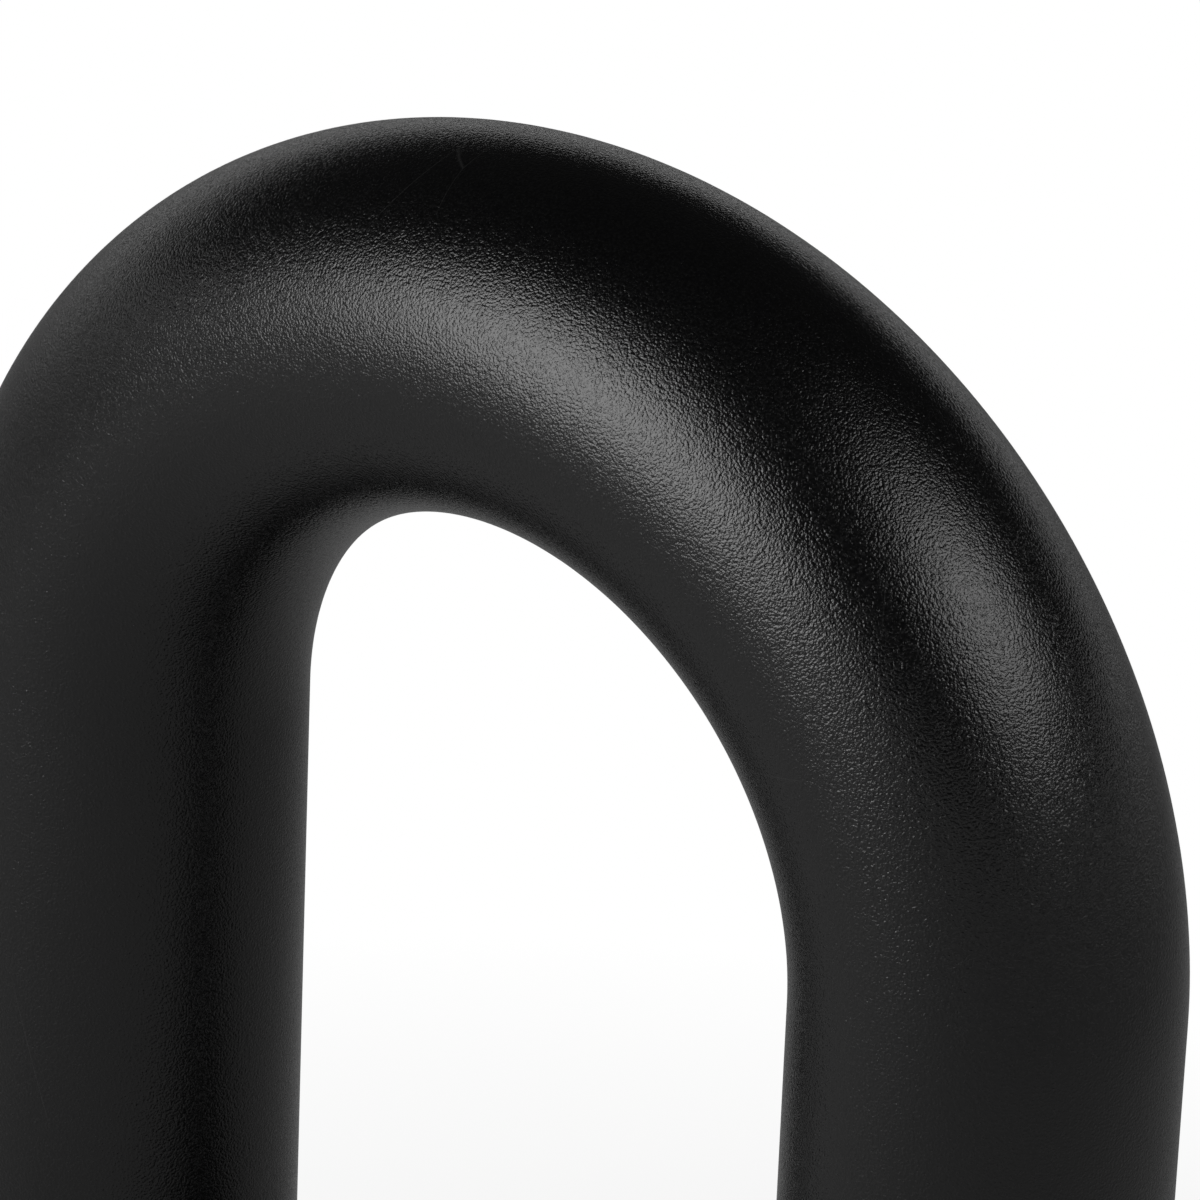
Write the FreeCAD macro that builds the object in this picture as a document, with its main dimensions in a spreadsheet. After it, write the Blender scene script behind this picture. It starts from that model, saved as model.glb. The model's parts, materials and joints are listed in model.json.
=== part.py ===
"""Extra-thick U lock for a bicycle, as an assembly of its separate pieces.

Lengths are in millimetres. The lock stands on its crossbar: +Z runs up the shackle's legs, X from the
left leg to the right one, and -Y is the front, where the key goes in. The origin is the middle of the
crossbar's flat base. It is drawn closed and unlocked, with the key in: turning the key a quarter turn
shoots both deadbolts into the shackle's feet, and with the bolts drawn back the shackle lifts out.
"""

import FreeCAD, Part
import math
import os

import Sketcher
from FreeCAD import Placement, Rotation, Vector

# name, value, what it measures
SIZES = (
    # shackle
    ("bar_diameter", 62.0, "outside diameter of the shackle's shell"),
    ("shell_wall", 7.0, "wall of the shell"),
    ("leg_spacing", 175.0, "between the axes of the two legs"),
    ("inside_height", 200.0, "from the crossbar's top to the inside of the bend"),
    ("shell_chamfer", 1.5, "chamfer round the lower end of the shell"),
    ("core_diameter", 16.0, "hardened bar inside the shell"),
    ("foot_diameter", 26.0, "locking foot"),
    ("foot_plug_length", 16.0, "part of the foot inside the shell"),
    ("core_seat_depth", 12.0, "how far the core goes into the foot"),
    ("foot_pin_diameter", 5.0, "cross pin through foot and core"),
    ("foot_tip_chamfer", 3.0, "lead-in at the foot's tip"),
    ("foot_tip_gap", 1.5, "under the foot's tip in its socket"),
    # crossbar
    ("housing_overhang", 41.5, "housing beyond the axis of each leg"),
    ("housing_border", 9.0, "housing in front of the shell, and behind it"),
    ("housing_height", 76.0, "base to top"),
    ("housing_corner", 16.0, "radius of the housing's long edges"),
    ("housing_wall", 9.0, "wall of the housing"),
    ("armour_wall", 3.0, "wall of the steel sleeve inside the housing"),
    ("end_plug_thickness", 8.0, "visible plate of an end plug"),
    ("end_plug_rounding", 4.0, "fillet round the plate's outer face"),
    ("spigot_length", 11.0, "part of an end plug inside the housing"),
    ("end_seal_thickness", 1.0, "seal under an end plug"),
    ("end_pin_diameter", 5.0, "pin that holds an end plug"),
    ("end_pin_spread", 30.0, "between the two pins of an end plug"),
    ("end_pin_length", 15.0, "pin that holds an end plug"),
    # sockets for the feet
    ("collar_border", 4.0, "flange under each leg, outside the shell"),
    ("collar_rise", 5.0, "flange above the housing's top"),
    ("collar_seat_depth", 5.0, "flange below the housing's top"),
    ("collar_chamfer", 1.5, "edge of the flange"),
    ("socket_wall", 5.0, "round the foot, with its play"),
    ("socket_floor", 10.0, "solid end of the socket"),
    ("gasket_thickness", 2.5, "rubber ring on the flange"),
    ("gasket_recess", 1.0, "how deep the ring sits in the flange"),
    ("gasket_border", 2.0, "shell outside the ring"),
    ("gasket_hole_border", 3.0, "ring outside the foot"),
    ("socket_screw_diameter", 8.0, "screw that pulls the socket down"),
    ("screw_head_diameter", 13.0, "its head"),
    ("screw_head_height", 3.6, "its head"),
    ("cover_diameter", 16.0, "steel disc that hides the head"),
    ("cover_thickness", 1.4, "the same disc"),
    ("cover_recess", 0.4, "the disc lies this far inside the base"),
    # deadbolts, racks and pinion
    ("bolt_diameter", 14.0, "deadbolt"),
    ("bolt_setback", 0.6, "drawn bolt short of the foot"),
    ("bolt_tip_gap", 1.2, "in the foot, in front of the shot bolt"),
    ("bolt_nose_chamfer", 1.5, "tip of the bolt"),
    ("bolt_inner_end", 26.0, "from the key's axis to the drawn bolt's inner end"),
    ("bolt_flat_length", 13.0, "flat on the bolt that carries the rack"),
    ("bolt_flat_height", 5.0, "flat above the bolt's axis"),
    ("bush_length", 14.5, "bronze bush round the bolt"),
    ("bush_wall", 3.0, "the same bush"),
    ("gear_module", 1.25, "pinion and racks"),
    ("pinion_width", 10.0, "tooth width, on the racks too"),
    ("rack_back", 4.5, "solid back of a rack, above its teeth"),
    ("rack_pin_diameter", 4.0, "pin that joins rack and bolt"),
    ("gear_backlash", 0.2, "play between pinion and rack teeth, on the pitch line"),
    # carrier
    ("carrier_screw_diameter", 4.0, "screw that joins the carrier's halves"),
    ("carrier_screw_head", 7.0, "diameter of its head"),
    ("carrier_screw_spread_x", 88.0, "between the screws, along the crossbar"),
    ("carrier_screw_edge", 7.0, "from the screws' axes to the carrier's top or base"),
    ("carrier_screw_length", 40.0, "under the head"),
    ("lock_pin_diameter", 4.0, "pin that locks the cylinder in the carrier"),
    # lock cylinder
    ("cylinder_wall", 5.0, "body of the lock cylinder, round the plug"),
    ("cylinder_back", 9.0, "from the shackle's plane to the cylinder's back"),
    ("cylinder_back_wall", 3.0, "wall behind the plug"),
    ("cylinder_flange_border", 4.0, "flange at the front of the cylinder, outside its body"),
    ("cylinder_flange_thickness", 3.0, "the same flange"),
    ("cylinder_seal_thickness", 1.0, "seal behind the flange"),
    ("escutcheon_border", 5.0, "hardened ring round the keyhole, outside the flange"),
    ("escutcheon_recess", 3.0, "part of the ring inside the housing"),
    ("escutcheon_rise", 1.0, "part of the ring in front of the housing"),
    ("escutcheon_chamfer", 1.2, "its outer edge"),
    ("plug_diameter", 17.8, "turning plug"),
    ("plug_wall", 1.4, "round its discs"),
    ("plug_back_wall", 2.4, "behind its discs"),
    ("face_thickness", 3.0, "hardened disc at the front of the plug"),
    ("tail_diameter", 8.8, "round part of the plug's tail"),
    ("tail_square", 6.0, "square part that drives the pinion"),
    ("journal_diameter", 5.0, "end of the tail, in the rear bush"),
    ("journal_length", 8.0, "the same journal"),
    ("clip_thickness", 0.9, "clip that holds the plug in"),
    ("clip_diameter", 14.0, "the same clip"),
    ("rear_bush_wall", 2.4, "bronze bush round the journal"),
    ("spacer_thickness", 0.4, "ring between two code discs"),
    ("spacer_play", 0.05, "on each side of such a ring"),
    ("sidebar_diameter", 2.4, "bar that the discs release"),
    ("drill_pin_diameter", 3.0, "hardened pins beside the keyhole"),
    ("drill_pin_length", 14.0, "the same pins"),
    # key
    ("key_width", 8.0, "blade"),
    ("key_thickness", 2.8, "blade"),
    ("key_play", 0.2, "round the blade in the keyway"),
    ("key_neck_gap", 1.2, "from the escutcheon to the key's head"),
    ("key_head_width", 27.0, "moulded head"),
    ("key_head_length", 26.0, "moulded head"),
    ("key_head_thickness", 7.6, "moulded head"),
    ("key_head_corner", 9.0, "radius of the head's outer corners"),
    ("key_head_rounding", 1.6, "fillet round the head's faces"),
    ("ring_hole_diameter", 7.0, "hole for a key ring"),
    ("key_tang_width", 18.0, "steel inside the head"),
    ("key_tang_length", 12.0, "steel inside the head"),
    # small edges and clearances
    ("edge_break", 0.4, "chamfer on screws, the plug's face and the keyway"),
    ("assembly_room", 5.5, "how far a bolt can be pushed back while the sockets go in"),
    ("press_gap", 0.05, "round pieces that stay fixed in their seats"),
    ("fit_gap", 0.1, "round pieces that turn or slide in a bearing"),
    ("free_gap", 0.3, "round moving pieces that touch nothing"),
    ("foot_play", 0.25, "round the foot in its socket"),
)

TEETH = 12
RACK_TEETH = 8
RACK_TEETH_OUTWARD = 3  # of the rack's teeth, those on the bolt's side of the key's axis at rest
PRESSURE_ANGLE = math.radians(25)
FLANK_POINTS = 7
KEY_CUTS = (0.9, 0.4, 1.3, 0.7, 1.5, 0.5, 1.1, 0.8)  # depths, one for each disc but the one at the tip
DISCS = len(KEY_CUTS) + 1

doc = FreeCAD.newDocument("u_lock")
sheet = doc.addObject("Spreadsheet::Sheet", "size")
for row, (name, value, meaning) in enumerate(SIZES, 1):
    sheet.set(f"A{row}", meaning)
    sheet.set(f"B{row}", str(value))
    sheet.setAlias(f"B{row}", name)
doc.recompute()


class Size:
    """A length together with the spreadsheet expression that it comes from."""

    def __init__(self, text, value):
        self.text = text
        self.value = value

    def __add__(self, other):
        return Size(f"({self.text} + {text_of(other)})", self.value + number(other))

    def __sub__(self, other):
        return Size(f"({self.text} - {text_of(other)})", self.value - number(other))

    def __mul__(self, other):
        return Size(f"({self.text} * {text_of(other)})", self.value * number(other))

    def __truediv__(self, other):
        return Size(f"({self.text} / {text_of(other)})", self.value / number(other))

    def __rsub__(self, other):
        return self * -1 + other

    def __neg__(self):
        return self * -1

    __radd__ = __add__
    __rmul__ = __mul__


def text_of(size):
    return size.text if isinstance(size, Size) else repr(size)


def number(size):
    return size.value if isinstance(size, Size) else size


class Sizes:
    """The spreadsheet's cells as attributes, each a Size."""

    def __init__(self):
        for name, value, _ in SIZES:
            setattr(self, name, Size(f"size.{name}", value))


s = Sizes()
nodes = []


# Places worked out from the sizes.

leg_x = s.leg_spacing / 2
bar_radius = s.bar_diameter / 2
bore_radius = bar_radius - s.shell_wall
core_radius = s.core_diameter / 2
foot_radius = s.foot_diameter / 2
leg_base = s.housing_height + s.collar_rise + s.gasket_thickness - s.gasket_recess
bend_centre = s.housing_height + s.inside_height - leg_x + bar_radius
foot_top = leg_base + s.foot_plug_length
core_base = foot_top - s.core_seat_depth
foot_pin_z = (foot_top + core_base) / 2
foot_pin_radius = s.foot_pin_diameter / 2

housing_depth = s.bar_diameter + s.housing_border * 2
housing_length = s.leg_spacing + s.housing_overhang * 2
lock_z = s.housing_height / 2
inner_half_depth = housing_depth / 2 - s.housing_wall
inner_floor = s.housing_wall
inner_roof = s.housing_height - s.housing_wall
inner_corner = s.housing_corner - s.housing_wall
cavity_half_depth = inner_half_depth - s.armour_wall
cavity_floor = inner_floor + s.armour_wall
cavity_roof = inner_roof - s.armour_wall
cavity_corner = inner_corner - s.armour_wall
housing_end = housing_length / 2
armour_end = housing_end - s.spigot_length
end_pin_x = housing_end - s.spigot_length / 2

collar_radius = bar_radius + s.collar_border
socket_radius = foot_radius + s.socket_wall
socket_bore = foot_radius + s.foot_play
gasket_outer = bar_radius - s.gasket_border
gasket_inner = foot_radius + s.gasket_hole_border
socket_base = inner_floor
socket_bore_floor = socket_base + s.socket_floor
foot_tip = socket_bore_floor + s.foot_tip_gap
collar_top = s.housing_height + s.collar_rise
collar_seat = s.housing_height - s.collar_seat_depth
gasket_base = collar_top - s.gasket_recess
cover_top = s.cover_recess + s.cover_thickness
screw_seat = cover_top + s.screw_head_height

bolt_radius = s.bolt_diameter / 2
bolt_hole_radius = bolt_radius + s.free_gap + s.fit_gap
bolt_nose = leg_x - foot_radius - s.bolt_setback
bolt_flat_end = s.bolt_inner_end + s.bolt_flat_length
carrier_end = leg_x - socket_radius - s.free_gap
bush_radius = bolt_radius + s.fit_gap + s.bush_wall
bush_inner_end = carrier_end - s.bush_length

pitch_radius = s.gear_module * TEETH / 2
tooth_pitch = s.gear_module * math.pi
addendum = s.gear_module
dedendum = s.gear_module * 1.25
rack_tip = pitch_radius - addendum
rack_root = pitch_radius + dedendum
rack_top = rack_root + s.rack_back
rack_inner_end = tooth_pitch * (RACK_TEETH - RACK_TEETH_OUTWARD)
rack_half_width = s.pinion_width / 2
bolt_travel = pitch_radius * (math.pi / 2)

rack_pin_x = s.bolt_inner_end + s.bolt_flat_length / 2
rack_pin_low = lock_z - s.bolt_flat_height / 2

# The lock cylinder's own places, measured forwards from the shackle's plane.
front = housing_depth / 2
flange_front = front - s.escutcheon_recess
flange_back = flange_front - s.cylinder_flange_thickness
cylinder_seal_back = flange_back - s.cylinder_seal_thickness
cylinder_inner_back = s.cylinder_back + s.cylinder_back_wall
plug_radius = s.plug_diameter / 2
cylinder_bore = plug_radius + s.fit_gap
cylinder_radius = cylinder_bore + s.cylinder_wall
flange_radius = cylinder_radius + s.cylinder_flange_border
escutcheon_radius = flange_radius + s.escutcheon_border
plug_back = cylinder_inner_back + s.fit_gap
disc_back = plug_back + s.plug_back_wall
plug_front = front - s.face_thickness
disc_radius = plug_radius - s.plug_wall - s.fit_gap
disc_space = s.spacer_thickness + s.spacer_play * 2
disc_stack = plug_front - disc_back - s.fit_gap * 2
disc_thickness = (disc_stack + disc_space) / DISCS - disc_space
disc_pitch = disc_thickness + disc_space
sidebar_radius = s.sidebar_diameter / 2
sidebar_offset = plug_radius - sidebar_radius - s.fit_gap
tail_radius = s.tail_diameter / 2
carrier_web = rack_half_width + s.free_gap
clip_back = s.cylinder_back - s.fit_gap - s.clip_thickness
rear_bush_radius = s.journal_diameter / 2 + s.fit_gap + s.rear_bush_wall
rear_bush_start = rack_half_width + s.free_gap
lock_pin_x = cylinder_radius
lock_pin_y = (s.cylinder_back + cavity_half_depth) / 2
lock_pin_top = cavity_roof - s.free_gap
key_tip = disc_back + s.free_gap
key_shoulder = front + s.escutcheon_rise + s.key_neck_gap


# How a piece is drawn.


def bind(thing, path, size):
    """Ties one property of thing to the spreadsheet, or just sets it if size is a plain number."""
    thing.setExpression(path, text_of(size))


def checked(feature):
    doc.recompute()
    if "Invalid" in feature.State or "Error" in feature.State:
        raise RuntimeError(f"{feature.Label} failed: {feature.State}")
    return feature


def new_body(label):
    body = doc.addObject("PartDesign::Body", label)
    body.Label = label
    nodes.append(body)
    return body


def sketch_on(body, role, offset=0.0):
    """A sketch on one of the body's own planes, moved along that plane's normal by offset."""
    drawing = body.newObject("Sketcher::SketchObject", "sketch")
    plane = next(item for item in body.Origin.OriginFeatures if item.Role == role)
    drawing.AttachmentSupport = (plane, [""])
    drawing.MapMode = "FlatFace"
    bind(drawing, "AttachmentOffset.Base.z", offset)
    return drawing


def dimension(drawing, kind, *picks, size):
    """A dimension bound to size. kind and picks are as Sketcher.Constraint takes them."""
    index = drawing.addConstraint(Sketcher.Constraint(kind, *picks, number(size)))
    bind(drawing, f"Constraints[{index}]", size)


def draw_circle(drawing, x, y, radius):
    circle = Part.Circle(Vector(number(x), number(y), 0), Vector(0, 0, 1), number(radius))
    index = drawing.addGeometry(circle)
    dimension(drawing, "Radius", index, size=radius)
    dimension(drawing, "DistanceX", -1, 1, index, 3, size=x)
    dimension(drawing, "DistanceY", -1, 1, index, 3, size=y)


def draw_outline(drawing, points):
    """A closed outline of straight lines through points, each dimensioned from the sketch's origin."""
    corners = [Vector(number(x), number(y), 0) for x, y in points]
    lines = [
        drawing.addGeometry(Part.LineSegment(a, b)) for a, b in zip(corners, corners[1:] + corners[:1])
    ]
    for line, following in zip(lines, lines[1:] + lines[:1]):
        drawing.addConstraint(Sketcher.Constraint("Coincident", line, 2, following, 1))
    for line, (x, y) in zip(lines, points):
        dimension(drawing, "DistanceX", -1, 1, line, 1, size=x)
        dimension(drawing, "DistanceY", -1, 1, line, 1, size=y)


def draw_rectangle(drawing, x_low, x_high, y_low, y_high):
    draw_outline(drawing, [(x_low, y_low), (x_high, y_low), (x_high, y_high), (x_low, y_high)])


def draw_shackle_line(drawing, leg_foot):
    """The middle line of the shackle: up the left leg from leg_foot, round the bend, down the right leg."""
    x, low, high = number(leg_x), number(leg_foot), number(bend_centre)
    left = drawing.addGeometry(Part.LineSegment(Vector(-x, low, 0), Vector(-x, high, 0)))
    circle = Part.Circle(Vector(0, high, 0), Vector(0, 0, 1), x)
    bend = drawing.addGeometry(Part.ArcOfCircle(circle, 0, math.pi))
    right = drawing.addGeometry(Part.LineSegment(Vector(x, high, 0), Vector(x, low, 0)))
    for rule in (
        ("Tangent", left, 2, bend, 2),
        ("Tangent", bend, 1, right, 1),
        ("Vertical", left),
        ("Vertical", right),
        ("PointOnObject", bend, 3, -2),
    ):
        drawing.addConstraint(Sketcher.Constraint(*rule))
    dimension(drawing, "Radius", bend, size=leg_x)
    dimension(drawing, "DistanceY", -1, 1, bend, 3, size=bend_centre)
    dimension(drawing, "DistanceY", -1, 1, left, 1, size=leg_foot)
    dimension(drawing, "DistanceY", -1, 1, right, 2, size=leg_foot)
    return ["Edge1", "Edge2", "Edge3"]


def pad(body, drawing, length, symmetric=False, backwards=False):
    feature = body.newObject("PartDesign::Pad", "pad")
    feature.Profile = drawing
    bind(feature, "Length", length)
    feature.SideType = "Symmetric" if symmetric else "One side"
    feature.Reversed = backwards
    return checked(feature)


def pocket(body, drawing, length, symmetric=False, forwards=False):
    """Cuts against the sketch's normal, or along it if forwards. A cut that removes nothing is an error."""
    before = body.Shape.Volume
    feature = body.newObject("PartDesign::Pocket", "pocket")
    feature.Profile = drawing
    bind(feature, "Length", length)
    feature.SideType = "Symmetric" if symmetric else "One side"
    feature.Reversed = forwards
    checked(feature)
    if feature.Shape.Volume >= before:
        raise RuntimeError(f"{body.Label}: a pocket cut nothing")
    return feature


def revolve(body, points):
    """Turns an outline of (radius, height) points about the body's own Z axis."""
    drawing = sketch_on(body, "XZ_Plane")
    draw_outline(drawing, points)
    feature = body.newObject("PartDesign::Revolution", "revolution")
    feature.Profile = drawing
    feature.ReferenceAxis = (drawing, ["V_Axis"])
    feature.Angle = 360
    return checked(feature)


def sweep_along_shackle(body, leg_foot, *radii):
    """A round bar along the shackle's line from leg_foot, hollow if there are two radii."""
    path = sketch_on(body, "XZ_Plane")
    edges = draw_shackle_line(path, leg_foot)
    section = sketch_on(body, "XY_Plane", leg_foot)
    for radius in radii:
        draw_circle(section, -leg_x, 0.0, radius)
    doc.recompute()
    feature = body.newObject("PartDesign::AdditivePipe", "pipe")
    feature.Profile = section
    feature.Spine = (path, edges)
    return checked(feature)


def dress(body, kind, picked, **sizes):
    """A PartDesign Fillet or Chamfer on the edges of the body's tip that picked(edge) accepts."""
    base = body.Tip
    names = [f"Edge{i}" for i, edge in enumerate(base.Shape.Edges, 1) if picked(edge)]
    if not names:
        raise RuntimeError(f"{body.Label}: no edge to dress")
    feature = body.newObject(f"PartDesign::{kind}", kind.lower())
    feature.Base = (base, names)
    for name, size in sizes.items():
        bind(feature, name, size)
    return checked(feature)


def near(a, b):
    return abs(a - number(b)) < 1e-4


def is_straight(edge, direction):
    """Whether edge is a straight line along direction, either way."""
    return isinstance(edge.Curve, Part.Line) and abs(edge.Curve.Direction.dot(direction)) > 0.999


def rim_at(height, radius):
    """Picks the circular edges of that radius at that height."""

    def picked(edge):
        is_round = isinstance(edge.Curve, Part.Circle) and near(edge.Curve.Radius, radius)
        return is_round and near(edge.Curve.Center.z, height)

    return picked


def corner_edges(half_depth, low, high):
    """Picks the four long edges of a bar that runs along X."""

    def picked(edge):
        point = edge.Vertexes[0].Point
        at_corner = near(abs(point.y), half_depth) and (near(point.z, low) or near(point.z, high))
        return is_straight(edge, Vector(1, 0, 0)) and at_corner

    return picked


def add_bar(body, x_low, length, half_depth, low, high, corner, backwards=False):
    """Material along X from x_low, of rounded rectangular section."""
    drawing = sketch_on(body, "YZ_Plane", x_low)
    draw_rectangle(drawing, -half_depth, half_depth, low, high)
    pad(body, drawing, length, backwards=backwards)
    dress(body, "Fillet", corner_edges(half_depth, low, high), Radius=corner)


def cut_bar(body, x_low, length, half_depth, low, high, corner):
    """Hollow along X from x_low, of rounded rectangular section."""
    drawing = sketch_on(body, "YZ_Plane", x_low)
    draw_rectangle(drawing, -half_depth, half_depth, low, high)
    pocket(body, drawing, length, forwards=True)
    dress(body, "Fillet", corner_edges(half_depth, low, high), Radius=corner)


def cut_holes(body, role, offset, circles, length, **way):
    drawing = sketch_on(body, role, offset)
    for x, y, radius in circles:
        draw_circle(drawing, x, y, radius)
    return pocket(body, drawing, length, **way)


def place(thing, x=0.0, y=0.0, z=0.0, axis=(0, 0, 1), angle=0.0):
    """Puts thing at a place tied to the spreadsheet, turned by angle degrees about axis."""
    thing.Placement = Placement(Vector(number(x), number(y), number(z)), Rotation(Vector(*axis), angle))
    for letter, size in (("x", x), ("y", y), ("z", z)):
        bind(thing, f"Placement.Base.{letter}", size)
    return thing


def rod(label, radius, length, **where):
    cylinder = doc.addObject("Part::Cylinder", label)
    bind(cylinder, "Radius", radius)
    bind(cylinder, "Height", length)
    return place(cylinder, **where)


def block(label, x_low, x_high, y_low, y_high, z_low, z_high):
    box = doc.addObject("Part::Box", label)
    for name, low, high in (("Length", x_low, x_high), ("Width", y_low, y_high), ("Height", z_low, z_high)):
        bind(box, name, high - low)
    return place(box, x=x_low, y=y_low, z=z_low)


def cut(label, base, *tools):
    for tool in tools:
        result = doc.addObject("Part::Cut", label)
        result.Base = base
        result.Tool = tool
        base = checked(result)
    return base


def ring(label, outer, inner, length, start):
    """A ring about Z that begins at the height start."""
    outside = rod(f"{label}_outside", outer, length, z=start)
    return cut(f"{label}_ring", outside, rod(f"{label}_inside", inner, length, z=start))


def as_node(thing, label):
    thing.Label = label
    nodes.append(thing)
    return thing


def group_node(label, things):
    """One node that holds several separate solids."""
    group = doc.addObject("Part::Compound", label)
    group.Links = things
    return as_node(checked(group), label)


def on_leg(thing, side):
    """Moves a piece drawn about Z with its inner side at +X to the left (-1) or right (1) leg."""
    return place(thing, x=leg_x * side, angle=0.0 if side < 0 else 180.0)


def on_lock_axis(thing):
    """Moves a piece drawn about Z to the key's axis, where its +Z points out of the front."""
    return place(thing, z=lock_z, axis=(1, 0, 0), angle=90.0)


def for_side(thing, side):
    """Leaves a left-hand piece of the bolt work where it is, or turns it about the key's axis."""
    return thing if side < 0 else place(thing, z=s.housing_height, axis=(0, 1, 0), angle=180.0)


SIDES = ((-1, "left"), (1, "right"))


# The shackle.


def shackle_shell():
    body = new_body("shackle_shell")
    sweep_along_shackle(body, leg_base, bar_radius, bore_radius)
    dress(body, "Chamfer", rim_at(leg_base, bar_radius), Size=s.shell_chamfer)


def shackle_core():
    body = new_body("shackle_core")
    sweep_along_shackle(body, core_base, core_radius)
    pins = [(leg_x * side, foot_pin_z, foot_pin_radius) for side, _ in SIDES]
    cut_holes(body, "XZ_Plane", 0.0, pins, s.core_diameter * 2, symmetric=True)


def core_infill():
    body = new_body("core_infill")
    sweep_along_shackle(body, foot_top, bore_radius - s.press_gap, core_radius + s.press_gap)


def foot(side, word):
    body = new_body(f"foot_{word}")
    plug = bore_radius - s.press_gap
    seat = core_radius + s.press_gap
    revolve(
        body,
        [
            (0.0, foot_tip),
            (foot_radius - s.foot_tip_chamfer, foot_tip),
            (foot_radius, foot_tip + s.foot_tip_chamfer),
            (foot_radius, leg_base),
            (plug, leg_base),
            (plug, foot_top),
            (seat, foot_top),
            (seat, core_base - s.press_gap),
            (0.0, core_base - s.press_gap),
        ],
    )
    pocket_floor = leg_x - bolt_nose - bolt_travel - s.bolt_tip_gap
    hole = [(0.0, lock_z, bolt_hole_radius)]
    cut_holes(body, "YZ_Plane", pocket_floor, hole, s.foot_diameter, forwards=True)
    pin = [(0.0, foot_pin_z, foot_pin_radius)]
    cut_holes(body, "XZ_Plane", 0.0, pin, s.bar_diameter, symmetric=True)
    on_leg(body, side)


def foot_pin(side, word):
    """Its ends stay inside the round of the foot's plug by the gap and the round's own drop over the pin."""
    drop = foot_pin_radius * foot_pin_radius / bore_radius
    reach = bore_radius - s.press_gap * 2 - drop
    where = {"x": leg_x * side, "y": reach, "z": foot_pin_z}
    pin = rod("foot_cross_pin", foot_pin_radius - s.press_gap, reach * 2, **where, axis=(1, 0, 0), angle=90.0)
    as_node(pin, f"foot_pin_{word}")


# The crossbar's shell and sockets.


def crossbar_housing():
    body = new_body("crossbar_housing")
    half = housing_depth / 2
    add_bar(body, -housing_end, housing_length, half, 0.0, s.housing_height, s.housing_corner)
    cut_bar(body, -housing_end, housing_length, inner_half_depth, inner_floor, inner_roof, inner_corner)
    for height, radius in (
        (collar_seat, collar_radius + s.press_gap),
        (lock_z, socket_radius + s.press_gap),
    ):
        cut_holes(body, "XY_Plane", height, at_legs(radius), s.housing_height, forwards=True)
    for height, circles in (
        (lock_z, at_legs(s.socket_screw_diameter / 2 + s.fit_gap)),
        (screw_seat, at_legs(s.cover_diameter / 2 + s.press_gap)),
        (lock_z, end_pin_circles(s.end_pin_diameter / 2)),
        (lock_z, lock_pin_circle(0.0)),
    ):
        cut_holes(body, "XY_Plane", height, circles, s.housing_height)
    for back, radius in (
        (flange_front, escutcheon_radius),
        (cylinder_seal_back, flange_radius),
        (0.0, cylinder_radius + s.fit_gap),
    ):
        hole = [(0.0, lock_z, radius + s.press_gap)]
        cut_holes(body, "XZ_Plane", back, hole, housing_depth, forwards=True)


def at_legs(radius):
    """A circle on the axis of each leg, seen from above."""
    return [(leg_x * side, 0.0, radius) for side, _ in SIDES]


def end_pin_circles(radius):
    """The four end-plug pins, seen from above."""
    half = s.end_pin_spread / 2
    return [(end_pin_x * x, half * y, radius) for x in (-1, 1) for y in (-1, 1)]


def lock_pin_circle(gap):
    """The pin that locks the cylinder, seen from above, thinner by gap all round."""
    return [(lock_pin_x, -lock_pin_y, s.lock_pin_diameter / 2 - gap)]


def armour_sleeve():
    body = new_body("armour_sleeve")
    depth = inner_half_depth - s.press_gap
    low = inner_floor + s.press_gap
    high = inner_roof - s.press_gap
    length = armour_end * 2
    add_bar(body, -armour_end, length, depth, low, high, inner_corner - s.press_gap)
    cut_bar(body, -armour_end, length, cavity_half_depth, cavity_floor, cavity_roof, cavity_corner)
    sockets = at_legs(socket_radius + s.press_gap)
    cut_holes(body, "XY_Plane", lock_z, sockets, s.housing_height * 2, symmetric=True)
    cut_holes(body, "XY_Plane", lock_z, lock_pin_circle(0.0), s.housing_height)
    key_hole = [(0.0, lock_z, cylinder_radius + s.fit_gap)]
    cut_holes(body, "XZ_Plane", 0.0, key_hole, housing_depth, forwards=True)


def end_plug(side, word):
    body = new_body(f"end_plug_{word}")
    half = housing_depth / 2
    plate = housing_end + s.end_seal_thickness
    add_bar(body, plate, s.end_plug_thickness, half, 0.0, s.housing_height, s.housing_corner)
    outer = plate + s.end_plug_thickness

    def on_outer_face(edge):
        return all(near(vertex.X, outer) for vertex in edge.Vertexes)

    dress(body, "Fillet", on_outer_face, Radius=s.end_plug_rounding)
    gap = s.fit_gap
    spigot = s.spigot_length + s.end_seal_thickness - gap
    low = inner_floor + gap
    high = inner_roof - gap
    add_bar(body, plate, spigot, inner_half_depth - gap, low, high, inner_corner - gap, backwards=True)
    pins = [(end_pin_x, s.end_pin_spread / 2 * y, s.end_pin_diameter / 2) for y in (-1, 1)]
    cut_holes(body, "XY_Plane", s.end_pin_length + s.fit_gap, pins, s.housing_height)
    if side < 0:
        place(body, angle=180.0)


def end_seal(side, word):
    body = new_body(f"end_seal_{word}")
    start = housing_end
    inset = s.end_seal_thickness / 2
    half = housing_depth / 2 - inset
    high = s.housing_height - inset
    add_bar(body, start, s.end_seal_thickness, half, inset, high, s.housing_corner - inset)
    cut_bar(body, start, s.end_seal_thickness, inner_half_depth, inner_floor, inner_roof, inner_corner)
    if side < 0:
        place(body, angle=180.0)


def end_plug_pins():
    radius = s.end_pin_diameter / 2 - s.press_gap
    start = s.cover_recess
    length = s.end_pin_length - start
    pins = [rod("end_pin", radius, length, x=x, y=y, z=start) for x, y, _ in end_pin_circles(radius)]
    group_node("end_plug_pins", pins)


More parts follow.
